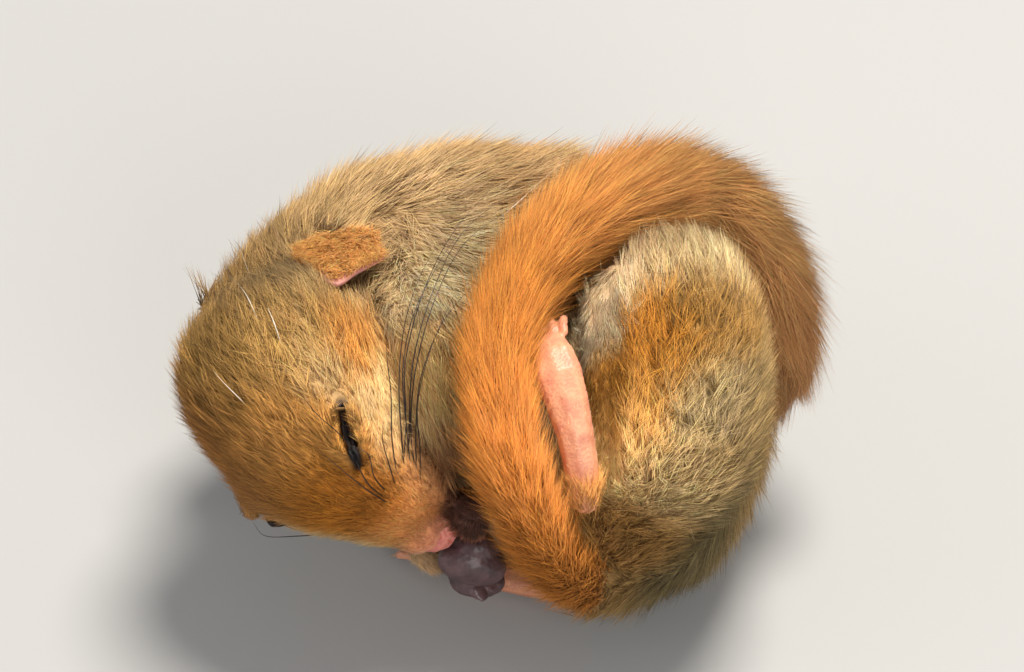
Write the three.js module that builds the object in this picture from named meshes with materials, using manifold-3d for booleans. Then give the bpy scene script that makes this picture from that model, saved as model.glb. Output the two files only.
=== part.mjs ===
// Hazel dormouse, life size, curled up asleep on its right side with the bushy tail wrapped over it.
// Millimetres, +Z up. X runs to the right along the ball, Y away from the face, and the origin is on
// the floor under the middle of the animal.
import * as THREE from 'three';
import { mergeVertices } from 'three/addons/utils/BufferGeometryUtils.js';
import Module from 'manifold-3d';

const wasm = await Module();
wasm.setup();

// Gap kept between touching pieces, and the block that cuts the lowest forms flat on the floor
const GAP = 0.3;
const FLOOR_BLOCK = 90;

// Head: place of the nose tip, which way the head points, and the length from nose to nape
const NOSE_TIP = new THREE.Vector3(-2.5, -11.6, 11);
const HEAD_FORWARD = new THREE.Vector3(0.62, -0.564, -0.545);
const HEAD_LEFT = new THREE.Vector3(0.525, -0.218, 0.823);
const HEAD_LENGTH = 24.5;

// Closed eye: the slit between the lids, and the lids that bulge over the eyeball
const EYE_SLIT_LENGTH = 4.8;
const EYE_SLIT_HALF = 0.62;
const EYE_SLIT_DEPTH = 1.6;
const LID_HALF_WIDTH = 2.1;
const LID_RISE = 0.75;

// Tail: thickness of flesh and underfur as a share of the brush, and the locks, in rings along it
const TAIL_CORE_SHARE = 0.5;
const LOCK_LENGTH = 9;
const LOCK_HALF_WIDTH = 1.8;
const LOCK_HALF_THICKNESS = 0.34;
const LOCK_RINGS = 12;
const LOCKS_PER_RING = 6;

const COAT = new THREE.MeshStandardMaterial({ color: 0xc99a5c, roughness: 0.9 });
const ORANGE_COAT = new THREE.MeshStandardMaterial({ color: 0xd9863c, roughness: 0.9 });
const BARE_SKIN = new THREE.MeshStandardMaterial({ color: 0xe0a085, roughness: 0.6 });
const DARK_PAW = new THREE.MeshStandardMaterial({ color: 0x6b5558, roughness: 0.6 });
const EYE_BLACK = new THREE.MeshStandardMaterial({ color: 0x0c0a0a, roughness: 0.3 });

const UP = new THREE.Vector3(0, 0, 1);
const HEAD_UP = new THREE.Vector3().crossVectors(HEAD_FORWARD, HEAD_LEFT).normalize();
const HEAD_FRAME = new THREE.Matrix4().makeBasis(HEAD_FORWARD, HEAD_LEFT, HEAD_UP).setPosition(NOSE_TIP);

function toSolid(geometry) {
  geometry.deleteAttribute('normal');
  geometry.deleteAttribute('uv');
  const shape = mergeVertices(geometry, 1e-4);
  return new wasm.Manifold(new wasm.Mesh({
    numProp: 3,
    vertProperties: new Float32Array(shape.attributes.position.array),
    triVerts: new Uint32Array(shape.index.array),
  }));
}

function toGeometry(solid) {
  const mesh = solid.getMesh();
  const geometry = new THREE.BufferGeometry();
  geometry.setAttribute('position', new THREE.BufferAttribute(mesh.vertProperties, 3));
  geometry.setIndex(new THREE.BufferAttribute(mesh.triVerts, 1));
  geometry.computeVertexNormals();
  return geometry;
}

function largest(solid) {
  return solid.decompose().reduce((best, piece) => (piece.volume() > best.volume() ? piece : best));
}

// A value read smoothly off a list spread evenly over 0..1
function between(values, s) {
  return new THREE.SplineCurve(values.map((value, i) => new THREE.Vector2(i, value))).getPoint(s).y;
}

// A rounded body along a curve. Each station is [x, y, z, half width, half height], the height lying
// along `up`. `blunt` is 2 for the ends of an egg and more for fuller ends.
class Form {
  constructor(stations, { up = UP, blunt = 2.4, around = 18, along = 14 } = {}) {
    this.path = new THREE.CatmullRomCurve3(stations.map(([x, y, z]) => new THREE.Vector3(x, y, z)));
    this.widths = stations.map((station) => station[3]);
    this.heights = stations.map((station) => station[4]);
    Object.assign(this, { up, blunt, around, along });
  }

  // The surface at s along the curve and an angle from its side towards its top
  point(s, angle, grow = 0) {
    const endward = 1 - 2 * s;
    const full = (1 - Math.abs(endward) ** this.blunt) ** (1 / this.blunt);
    const tangent = this.path.getTangent(s);
    const side = new THREE.Vector3().crossVectors(tangent, this.up).normalize();
    const top = new THREE.Vector3().crossVectors(side, tangent);
    return this.path.getPoint(s)
      .addScaledVector(tangent, -endward * grow)
      .addScaledVector(side, Math.cos(angle) * full * (between(this.widths, s) + grow))
      .addScaledVector(top, Math.sin(angle) * full * (between(this.heights, s) + grow));
  }

  solid(grow = 0) {
    const shape = new THREE.SphereGeometry(1, this.around, this.along);
    const position = shape.attributes.position;
    for (let i = 0; i < position.count; i += 1) {
      const s = THREE.MathUtils.clamp((1 - position.getY(i)) / 2, 0, 1);
      const angle = Math.atan2(-position.getZ(i), position.getX(i));
      position.setXYZ(i, ...this.point(s, angle, grow));
    }
    return toSolid(shape);
  }
}

// A place in the head's own frame: forward of the nose tip, to the animal's left, above the nose
function onHead(forward, left, above) {
  return new THREE.Vector3(forward, left, above).applyMatrix4(HEAD_FRAME);
}

// Head outline: [forward of the nose tip, height of the middle, half width, half height]
const HEAD_STATIONS = [
  [-0.6, 0.2, 2.3, 2.2],
  [-3.4, 0.5, 4.8, 4.6],
  [-7, 1.2, 6.3, 6.2],
  [-10.6, 2.2, 7.8, 7.8],
  [-14, 2.3, 8.6, 8.4],
  [-18, 1.8, 9, 8.6],
  [-21.5, 1.4, 8.7, 8.2],
  [-HEAD_LENGTH, 1, 7.6, 7.2],
];

// Places on the head, as s from nose to nape and an angle from the left side up towards the crown
const EYE_AT = { s: 0.46, angle: 0.6 };
const EAR_AT = { s: 0.86, angle: -0.3 };
const MUZZLE_PAD_AT = { s: 0.16, angle: 0.05 };
const MOUTH_LINE = [[0.3, -0.55], [0.2, -0.8], [0.1, -1.15], [0.05, -1.57]];

function headForm() {
  const placed = HEAD_STATIONS.map(([forward, above, width, height]) => (
    [...onHead(forward, 0, above), width, height]));
  return new Form(placed, { up: HEAD_UP, blunt: 3.4, around: 22, along: 20 });
}

const HEAD = headForm();

// Forms of the flesh with its coat, in the order in which they keep their shape where they meet
const FLESH = {
  thigh_left: new Form([
    [11, -12.5, 13, 6.5, 8],
    [14, -8, 18.5, 7.4, 9.4],
    [13.8, 0, 24, 7.2, 7.8],
    [12, 5.5, 25.5, 5.5, 5],
  ], { blunt: 2.8, around: 18, along: 13 }),
  shank_left: new Form([
    [9, -1, 27.6, 2.4, 2.4],
    [9.3, -8, 25.4, 2.4, 2.6],
    [9.2, -14.2, 20.4, 1.8, 2],
  ], { blunt: 3, around: 8, along: 8 }),
  upper_arm_left: new Form([
    [-6, 5, 24, 5, 4.6],
    [-2.5, -4, 22.5, 6, 5.4],
    [0.5, -10.5, 17.8, 4, 4],
  ], { blunt: 2.6, around: 14, along: 10 }),
  thigh_right: new Form([
    [12, -9, 5.5, 7, 6],
    [10, -3, 6, 7.5, 6.4],
    [6, 2, 6, 5.5, 5.4],
  ], { blunt: 2.6, around: 14, along: 10 }),
  upper_arm_right: new Form([
    [-8, 3, 7.5, 5.5, 5.5],
    [-4.5, -2, 6.5, 5, 5],
    [-2, -5.5, 5.5, 3.4, 3.6],
  ], { blunt: 2.6, around: 12, along: 9 }),
  torso_rear: new Form([
    [12, 8.5, 14.6, 9, 13],
    [13.5, 0, 13.8, 9.3, 14.2],
    [10, -8.5, 11.5, 8.6, 12],
    [6, -13, 9, 6.2, 8],
  ], { blunt: 3.2, around: 18, along: 12 }),
  torso_front: new Form([
    [-12.5, 8.8, 14.5, 9.8, 12.4],
    [-5, 7.9, 14.4, 12.2, 15.2],
    [3, 7.7, 14.2, 12.8, 15],
    [10, 6.5, 14.2, 11.8, 13.5],
  ], { blunt: 3.2, around: 18, along: 12 }),
  neck: new Form([
    [-15, -1, 19, 7, 8],
    [-13, 3, 17.5, 8.6, 10],
    [-8, 6.5, 17.5, 10, 12],
  ], { blunt: 2.8, around: 16, along: 10 }),
  shank_right: new Form([
    [6.4, 3, 2.8, 2.3, 2.2],
    [6.6, -2, 2.8, 2.2, 2.2],
    [6.4, -6.4, 2.6, 1.6, 1.7],
  ], { blunt: 3, around: 8, along: 6 }),
  forearm_left: new Form([
    [-0.2, -11.6, 15.4, 2.3, 2.3],
    [-0.2, -11.2, 12.8, 1.9, 1.9],
    [-0.2, -10.6, 10.4, 1.4, 1.4],
  ], { up: new THREE.Vector3(0, -1, 0), blunt: 3, around: 8, along: 6 }),
  forearm_right: new Form([
    [-4.6, -6, 5.2, 2.4, 2.4],
    [-3.4, -7.6, 5.2, 2, 2],
    [-2.3, -8.8, 5.2, 1.5, 1.5],
  ], { blunt: 3, around: 8, along: 6 }),
};

// A paw: the form of its palm or sole, and toes that start on it at `knuckle` along its length, fan
// out by `spread` across it and curl down by `curl`. The middle toe is the longest.
function paw({ sole, knuckle, toes, length, radius, spread, curl }, grow = 0) {
  const pieces = [sole.solid(grow)];
  const forward = sole.path.getTangent(knuckle);
  const side = new THREE.Vector3().crossVectors(forward, sole.up).normalize();
  const top = new THREE.Vector3().crossVectors(side, forward);
  for (let i = 0; i < toes; i += 1) {
    const across = toes > 1 ? (2 * i) / (toes - 1) - 1 : 0;
    const reach = length * (1 - 0.22 * across * across);
    const root = sole.path.getPoint(knuckle).addScaledVector(side, across * spread);
    const middle = root.clone().addScaledVector(forward, 0.6 * reach)
      .addScaledVector(side, across * spread * 0.25).addScaledVector(top, 0.25 * radius);
    const tip = root.clone().addScaledVector(forward, reach - 0.45 * curl)
      .addScaledVector(side, across * spread * 0.35).addScaledVector(top, -curl);
    const stations = [root, middle, tip].map((point) => [...point, radius, radius]);
    pieces.push(new Form(stations, { up: top, blunt: 3.4, around: 6, along: 5 }).solid(grow));
  }
  return wasm.Manifold.union(pieces);
}

const FOOT_UP = new THREE.Vector3(0, -0.75, 0.66);
const PAWS = {
  foot_left: {
    sole: new Form([
      [7.9, -16.6, 19.2, 1.5, 1.3],
      [7, -13.6, 24.4, 1.5, 1.1],
      [5.7, -10.2, 27.6, 1.9, 1],
      [4.6, -6.6, 27.9, 1.7, 0.8],
    ], { up: FOOT_UP, blunt: 3.4, around: 8, along: 10 }),
    knuckle: 0.88, toes: 5, length: 3.4, radius: 0.45, spread: 1.4, curl: 0.7,
  },
  foot_right: {
    sole: new Form([
      [6.2, -8.6, 1.8, 1.3, 1.3],
      [2.6, -7.2, 1.6, 1.5, 1.1],
      [-2, -5, 1.5, 1.9, 0.9],
      [-4.2, -3.6, 1.4, 1.7, 0.8],
    ], { blunt: 3.4, around: 8, along: 10 }),
    knuckle: 0.88, toes: 5, length: 3.4, radius: 0.5, spread: 1.4, curl: 0.4,
  },
  hand_left: {
    sole: new Form([
      [-0.3, -10.6, 10.2, 1.4, 1.2],
      [-0.4, -10.6, 8.8, 1.8, 1.3],
      [-0.4, -10.4, 7.7, 1.6, 1.1],
    ], { up: new THREE.Vector3(0, -1, 0.2), blunt: 3, around: 8, along: 8 }),
    knuckle: 0.55, toes: 4, length: 2, radius: 0.55, spread: 1.3, curl: 0.7,
  },
  hand_right: {
    sole: new Form([
      [-2, -9.4, 5, 1.4, 1.4],
      [-0.8, -9.9, 5, 1.9, 1.7],
      [0.3, -10.2, 4.8, 1.8, 1.6],
    ], { blunt: 3, around: 8, along: 8 }),
    knuckle: 0.6, toes: 4, length: 2.1, radius: 0.62, spread: 1.25, curl: 0.9,
  },
};

// The tail's middle line from the rump to its end, with the radius of its brush there
const TAIL_STATIONS = [
  [8.6, -14.4, 6, 2.6],
  [6.6, -16.8, 11.4, 3.2],
  [4.4, -17.2, 17.5, 3.3],
  [2, -14.8, 24.6, 3.4],
  [1.6, -8.3, 28.3, 3.5],
  [4.6, -0.2, 29.6, 3.9],
  [10.3, 5.8, 29.8, 4.2],
  [16.4, 9.8, 27, 4.4],
  [21.4, 8.4, 22.6, 4.4],
  [23.6, 4, 17.8, 4.2],
  [23.8, 1.2, 14.6, 3.4],
];
const TAIL_CUTS = [0.34, 0.67];

// A seeded run of even random numbers
function randomRun(seed) {
  let state = seed;
  return () => {
    state = (state * 1664525 + 1013904223) % 4294967296;
    return state / 4294967296;
  };
}

// Flesh and underfur of the tail, half as thick as its brush
function tailCore() {
  const share = TAIL_CORE_SHARE;
  return new Form(TAIL_STATIONS.map(([x, y, z, radius]) => [x, y, z, share * radius, share * radius]),
    { blunt: 6, around: 8, along: 16 });
}

// One lock: rooted in the core at s and angle, it leans towards the tip and spreads out to the brush's
// radius, or past the end of the tail for the last ones
function lock(core, s, angle, length, lean) {
  const lineLength = core.path.getLength();
  const brush = new THREE.CatmullRomCurve3(TAIL_STATIONS.map((station) => new THREE.Vector3(station[3], 0, 0)));
  const place = (reach, share) => {
    const t = s + reach / lineLength;
    const end = Math.min(t, 1);
    const tangent = core.path.getTangent(end);
    const side = new THREE.Vector3().crossVectors(tangent, UP).normalize();
    const top = new THREE.Vector3().crossVectors(side, tangent);
    return core.path.getPoint(end)
      .addScaledVector(tangent, (t - end) * lineLength)
      .addScaledVector(side, Math.cos(angle) * share * brush.getPoint(end).x)
      .addScaledVector(top, Math.sin(angle) * share * brush.getPoint(end).x);
  };
  const root = place(0, 0.25);
  const outward = place(0, 1).sub(root).normalize();
  const stations = [
    [...root, 0.9 * LOCK_HALF_WIDTH, LOCK_HALF_THICKNESS],
    [...place(0.35 * length, 0.62 * lean), LOCK_HALF_WIDTH, LOCK_HALF_THICKNESS],
    [...place(0.7 * length, 0.88 * lean), 0.8 * LOCK_HALF_WIDTH, LOCK_HALF_THICKNESS],
    [...place(length, lean), 0.3 * LOCK_HALF_WIDTH, 0.6 * LOCK_HALF_THICKNESS],
  ];
  return new Form(stations, { up: outward, blunt: 2.2, around: 4, along: 4 }).solid();
}

// The whole bushy tail: locks in rings that are turned against each other, fused to the core
function tailBrush() {
  const core = tailCore();
  const random = randomRun(7);
  const pieces = [core.solid()];
  for (let ring = 0; ring < LOCK_RINGS; ring += 1) {
    const s = (ring + 0.3) / LOCK_RINGS;
    for (let i = 0; i < LOCKS_PER_RING; i += 1) {
      const turn = (i + 0.5 * (ring % 2) + 0.4 * (random() - 0.5)) / LOCKS_PER_RING;
      const length = LOCK_LENGTH * (0.85 + 0.3 * random());
      pieces.push(lock(core, s, 2 * Math.PI * turn, length, 0.92 + 0.16 * random()));
    }
  }
  return wasm.Manifold.union(pieces);
}

// The tail parted by thin cuts into its base, middle and tip
function tailPieces(whole) {
  const line = new Form(TAIL_STATIONS).path;
  let tail = whole;
  for (const s of TAIL_CUTS) {
    const cut = new THREE.BoxGeometry(18, 18, GAP);
    cut.applyQuaternion(new THREE.Quaternion().setFromUnitVectors(UP, line.getTangent(s)));
    cut.translate(...line.getPoint(s));
    tail = tail.subtract(toSolid(cut));
  }
  const pieces = tail.decompose().sort((a, b) => b.volume() - a.volume()).slice(0, 3);
  const depth = (piece) => piece.boundingBox().max[1];
  return pieces.sort((a, b) => depth(a) - depth(b));
}

// The closed eye's slit on one side (1 left, -1 right): a lens along the lids, sunk into the head
function eyeSlit(side, halfWidth, depth, ends = 0) {
  const mirror = (angle) => (side > 0 ? angle : Math.PI - angle);
  const middle = HEAD.point(EYE_AT.s, mirror(EYE_AT.angle));
  const outward = HEAD.point(EYE_AT.s, mirror(EYE_AT.angle), 1).sub(middle).normalize();
  const along = new THREE.Vector3(0.9, -0.5 * side, 0.07).transformDirection(HEAD_FRAME);
  along.addScaledVector(outward, -along.dot(outward)).normalize();
  const half = EYE_SLIT_LENGTH / 2 + ends;
  const stations = [-half, 0, half].map((reach) => {
    const at = middle.clone().addScaledVector(along, reach).addScaledVector(outward, -0.045 * reach * reach);
    return [...at, halfWidth, depth];
  });
  return new Form(stations, { up: outward, blunt: 2, around: 10, along: 8 });
}

function ellipsoid(middle, radii, frame = HEAD_FRAME) {
  const shape = new THREE.SphereGeometry(1, 10, 8).scale(...radii);
  const turn = frame.clone().setPosition(middle);
  return toSolid(shape.applyMatrix4(turn));
}

function earRoot(side) {
  return HEAD.point(EAR_AT.s, side > 0 ? EAR_AT.angle : Math.PI - EAR_AT.angle, -0.6);
}

function earOutside(side, grow = 0) {
  return ellipsoid(earRoot(side), [3.2 + grow, 3 + grow, 3.9 + grow]);
}

// The ear of one side: a small cup that opens forward, folded down on the head in sleep
function ear(side) {
  const forward = HEAD_FORWARD.clone().multiplyScalar(1.3);
  const hollow = ellipsoid(earRoot(side).add(forward), [3, 2.3, 3.2]);
  return earOutside(side).subtract(hollow);
}

function noseSolid(grow = 0) {
  return ellipsoid(onHead(-0.9, 0, 0.2), [1.5 + grow, 1.9 + grow, 1.6 + grow]);
}

function nose() {
  const nostrils = [-1, 1].map((side) => ellipsoid(onHead(0.35, 0.85 * side, 0.25), [0.6, 0.34, 0.42]));
  const groove = ellipsoid(onHead(0.5, 0, -0.7), [0.5, 0.16, 1]);
  return noseSolid().subtract(wasm.Manifold.union([...nostrils, groove]));
}

// The head with its muzzle pads, closed lids and the line of the mouth
function headSolid() {
  const pads = [1, -1].map((side) => {
    const angle = side > 0 ? MUZZLE_PAD_AT.angle : Math.PI - MUZZLE_PAD_AT.angle;
    return ellipsoid(HEAD.point(MUZZLE_PAD_AT.s, angle, -1.3), [2.6, 2, 1.9]);
  });
  const lids = [1, -1].map((side) => eyeSlit(side, LID_HALF_WIDTH, LID_RISE, 0.7).solid());
  const slits = [1, -1].map((side) => eyeSlit(side, EYE_SLIT_HALF, EYE_SLIT_DEPTH).solid());
  return wasm.Manifold.union([HEAD.solid(), ...pads, ...lids])
    .subtract(wasm.Manifold.union(slits))
    .subtract(mouthLine())
    .subtract(noseSolid(GAP));
}

// The groove of the closed mouth, from one corner round under the nose to the other
function mouthLine() {
  const left = MOUTH_LINE.map(([s, angle]) => HEAD.point(s, angle, -0.1));
  const right = MOUTH_LINE.slice(0, -1).reverse()
    .map(([s, angle]) => HEAD.point(s, Math.PI - angle, -0.1));
  const stations = [...left, ...right].map((point) => [...point, 0.45, 0.22]);
  return new Form(stations, { up: HEAD_FORWARD, blunt: 6, around: 6, along: 16 }).solid();
}

const floorBlock = toSolid(new THREE.BoxGeometry(FLOOR_BLOCK, FLOOR_BLOCK, FLOOR_BLOCK)
  .translate(0, 0, -FLOOR_BLOCK / 2));

function node(name, solid, material) {
  const mesh = new THREE.Mesh(toGeometry(largest(solid)), material);
  mesh.name = name;
  return mesh;
}

function build() {
  const animal = new THREE.Group();
  const taken = [noseSolid(GAP), HEAD.solid(GAP)];
  const clear = (solid) => taken.reduce((rest, other) => rest.subtract(other), solid.subtract(floorBlock));
  animal.add(node('head', headSolid(), COAT));
  animal.add(node('nose', nose(), BARE_SKIN));
  for (const [name, side] of [['left', 1], ['right', -1]]) {
    animal.add(node(`ear_${name}`, clear(ear(side)), BARE_SKIN));
    animal.add(node(`eye_${name}`, eyeSlit(side, EYE_SLIT_HALF - GAP, EYE_SLIT_DEPTH - GAP, -GAP).solid(), EYE_BLACK));
  }
  taken.push(earOutside(1, GAP), earOutside(-1, GAP));
  for (const [name, form] of Object.entries(FLESH)) {
    animal.add(node(name, clear(form.solid()), COAT));
    taken.push(form.solid(GAP));
  }
  for (const [name, sizes] of Object.entries(PAWS)) {
    animal.add(node(name, clear(paw(sizes)), name === 'hand_right' ? DARK_PAW : BARE_SKIN));
    taken.push(paw(sizes, GAP));
  }
  tailPieces(clear(tailBrush())).forEach((piece, i) => {
    animal.add(node(['tail_base', 'tail_middle', 'tail_tip'][i], piece, ORANGE_COAT));
  });
  const middle = new THREE.Box3().setFromObject(animal).getCenter(new THREE.Vector3());
  animal.position.set(-middle.x, -middle.y, 0);
  return animal;
}

export default build();
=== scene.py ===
import math

import bmesh
import bpy
import numpy as np
from mathutils import Matrix, Vector
from mathutils.bvhtree import BVHTree


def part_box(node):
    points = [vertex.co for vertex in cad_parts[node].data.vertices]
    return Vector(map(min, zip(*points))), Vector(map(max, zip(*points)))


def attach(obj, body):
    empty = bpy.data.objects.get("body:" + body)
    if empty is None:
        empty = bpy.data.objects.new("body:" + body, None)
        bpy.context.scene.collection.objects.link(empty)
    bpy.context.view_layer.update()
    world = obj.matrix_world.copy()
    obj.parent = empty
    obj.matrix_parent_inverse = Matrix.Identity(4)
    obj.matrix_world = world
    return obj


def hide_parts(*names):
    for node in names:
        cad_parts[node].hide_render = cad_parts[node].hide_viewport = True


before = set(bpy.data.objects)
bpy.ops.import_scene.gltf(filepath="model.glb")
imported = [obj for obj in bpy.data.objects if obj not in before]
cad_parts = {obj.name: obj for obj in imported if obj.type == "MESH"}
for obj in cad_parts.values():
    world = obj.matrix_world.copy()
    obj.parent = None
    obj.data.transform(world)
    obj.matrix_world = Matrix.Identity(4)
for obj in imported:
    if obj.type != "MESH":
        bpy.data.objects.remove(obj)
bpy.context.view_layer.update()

# Hide under the coat: one soft skin over head, trunk and limbs, and the thin fleshy tail.
# It follows the solids, closes the thin gaps between them and lies inside them by the depth of
# the coat. Work is done in millimetres, in the place where the forms were drawn, and `to_metres`
# sets a finished mesh down in its place on the solids. DRAWN_TRUNK_CORNER is the low corner of
# the front of the trunk as drawn.
DRAWN_TRUNK_CORNER = Vector((-12.72, -4.98, 0.0))
FLESH_NODES = ["head", "neck", "torso_front", "torso_rear", "upper_arm_left", "forearm_left",
               "upper_arm_right", "forearm_right", "thigh_left", "shank_left", "thigh_right",
               "shank_right"]
TAIL_NODES = ["tail_base", "tail_middle", "tail_tip"]
drawn_shift = Vector(metres * 1000 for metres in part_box("torso_front")[0]) - DRAWN_TRUNK_CORNER
drawn_shift.z = 0.0
to_metres = Matrix.Scale(0.001, 4) @ Matrix.Translation(drawn_shift)


def copied_solids(names, swell):
    """The solids of some nodes as one mesh in millimetres, swollen to meet over their gaps."""
    shell = bmesh.new()
    for name in names:
        shell.from_mesh(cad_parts[name].data)
    bmesh.ops.remove_doubles(shell, verts=shell.verts, dist=1e-6)
    shell.transform(to_metres.inverted())
    shell.normal_update()
    for vert, move in [(vert, vert.normal * swell) for vert in shell.verts]:
        vert.co += move
    return shell


def object_from(shell, name):
    mesh = bpy.data.meshes.new(name)
    shell.to_mesh(mesh)
    shell.free()
    made = bpy.data.objects.new(name, mesh)
    bpy.context.scene.collection.objects.link(made)
    return made


def with_modifiers_applied(made):
    bpy.context.view_layer.update()
    evaluated = made.evaluated_get(bpy.context.evaluated_depsgraph_get())
    mesh = bpy.data.meshes.new_from_object(evaluated)
    made.modifiers.clear()
    made.data = mesh
    mesh.name = made.name


def refleshed(shell, name, voxel, rounds):
    """One closed, even and smoothed skin over everything in the shell."""
    made = object_from(shell, name)
    remesh = made.modifiers.new("even", "REMESH")
    remesh.mode = "VOXEL"
    remesh.voxel_size = voxel
    remesh.use_smooth_shade = True
    smooth = made.modifiers.new("soft", "SMOOTH")
    smooth.factor = 0.5
    smooth.iterations = rounds
    with_modifiers_applied(made)
    return made


def line_through(stations, count):
    """Evenly numbered places on a Catmull-Rom line through rows of numbers."""
    rows = np.array(stations, float)
    rows = np.vstack([2 * rows[0] - rows[1], rows, 2 * rows[-1] - rows[-2]])
    at = np.linspace(0, len(stations) - 1, count)
    i = np.minimum(at.astype(int), len(stations) - 2)
    t = (at - i)[:, None]
    a, b, c, d = rows[i], rows[i + 1], rows[i + 2], rows[i + 3]
    return 0.5 * (2 * b + (c - a) * t + (2 * a - 5 * b + 4 * c - d) * t ** 2
                  + (3 * b - a - 3 * c + d) * t ** 3)


# x, y, z and the radius of the brush, from the rump to the tip, and the share of that radius that
# is flesh
TAIL_LINE = [
    [9.2, -12.2, 6.8, 2.2], [7.0, -15.9, 11.4, 2.8], [4.4, -17.0, 17.5, 3.0], [2, -14.8, 24.6, 3.1],
    [1.6, -8.3, 28.3, 3.2], [4.6, -0.2, 29.6, 3.6], [10.3, 5.8, 29.6, 4.0], [16.2, 9.4, 26.6, 3.8],
    [21.0, 8.0, 22.6, 3.4], [23.0, 4, 17.8, 3.0], [23.2, 1.2, 14.6, 2.4],
]
TAIL_FLESH_SHARE = 0.5
tail_places = line_through(TAIL_LINE, 60)
tail_middle = tail_places[:, :3]
tail_heading = np.gradient(tail_middle, axis=0)
tail_heading /= np.linalg.norm(tail_heading, axis=1)[:, None]


def tail_flesh():
    """The bare tail: a ring that is extruded along the tail's middle line."""
    shell = bmesh.new()
    ring = bmesh.ops.create_circle(shell, segments=14, radius=1, cap_ends=True)["verts"]
    edges = list({edge for vert in ring for edge in vert.link_edges})
    turn = Vector((0, 0, 1)).rotation_difference(Vector(tail_heading[0]))
    before = Matrix.Identity(4)
    for i, place in enumerate(tail_places):
        if i:
            last, now = Vector(tail_heading[i - 1]), Vector(tail_heading[i])
            turn = last.rotation_difference(now) @ turn
            drawn = bmesh.ops.extrude_edge_only(shell, edges=edges)["geom"]
            ring = [part for part in drawn if isinstance(part, bmesh.types.BMVert)]
            edges = [part for part in drawn if isinstance(part, bmesh.types.BMEdge)]
        after = (Matrix.Translation(place[:3]) @ turn.to_matrix().to_4x4()
                 @ Matrix.Scale(place[3] * TAIL_FLESH_SHARE, 4))
        bmesh.ops.transform(shell, matrix=after @ before.inverted(), verts=ring)
        before = after
    bmesh.ops.holes_fill(shell, edges=shell.edges)
    bmesh.ops.recalc_face_normals(shell, faces=shell.faces)
    return shell


# Loose fat and skin that rounds off the nape, the back, the root of the tail and the muzzle: the
# middle of each roll and its half length, width and height
SOFT_ROLLS = [[-8, 8, 16.2, 8.5, 10.5, 12.2], [6, 9.4, 17.3, 8.5, 10, 11.5],
              [9.5, -12.5, 9, 5, 3.8, 5.2], [-4.6, -11.2, 12.4, 2.5, 2.5, 2.5]]
hide_shell = copied_solids(FLESH_NODES, 0.22)
for x, y, z, *radii in SOFT_ROLLS:
    bmesh.ops.create_uvsphere(hide_shell, u_segments=28, v_segments=18, radius=1,
                              matrix=Matrix.Translation((x, y, z)) @ Matrix.Diagonal((*radii, 1)))
tail_shell = tail_flesh()
tail_mesh = bpy.data.meshes.new("tail flesh")
tail_shell.to_mesh(tail_mesh)
tail_shell.free()
hide_shell.from_mesh(tail_mesh)
bpy.data.meshes.remove(tail_mesh)
HIDE_MESH = 0.32
HIDE_SOFTENING = 9
hide = refleshed(hide_shell, "hide", HIDE_MESH, HIDE_SOFTENING)

# Lie of the coat: hair grows from the nose back over the head, along the back to the rump, down
# the limbs and out along the tail. Each line of growth is a row of places with, at each one,
# x, y, z, the form's radius, hair length, height of the coat over the skin and half the width of
# a hair. The head's rows are forward, left and above of the tip of the nose.
NOSE_TIP = np.array([-2.5, -11.6, 11.0])
HEAD_FORWARD = np.array([0.62, -0.564, -0.545])
HEAD_LEFT = np.array([0.525, -0.218, 0.823])
HEAD_UP = np.cross(HEAD_FORWARD, HEAD_LEFT)


def on_head(forward, left, above):
    return NOSE_TIP + forward * HEAD_FORWARD + left * HEAD_LEFT + above * HEAD_UP


def head_line(rows):
    return [[*on_head(forward, left, above), *rest] for forward, left, above, *rest in rows]


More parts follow.
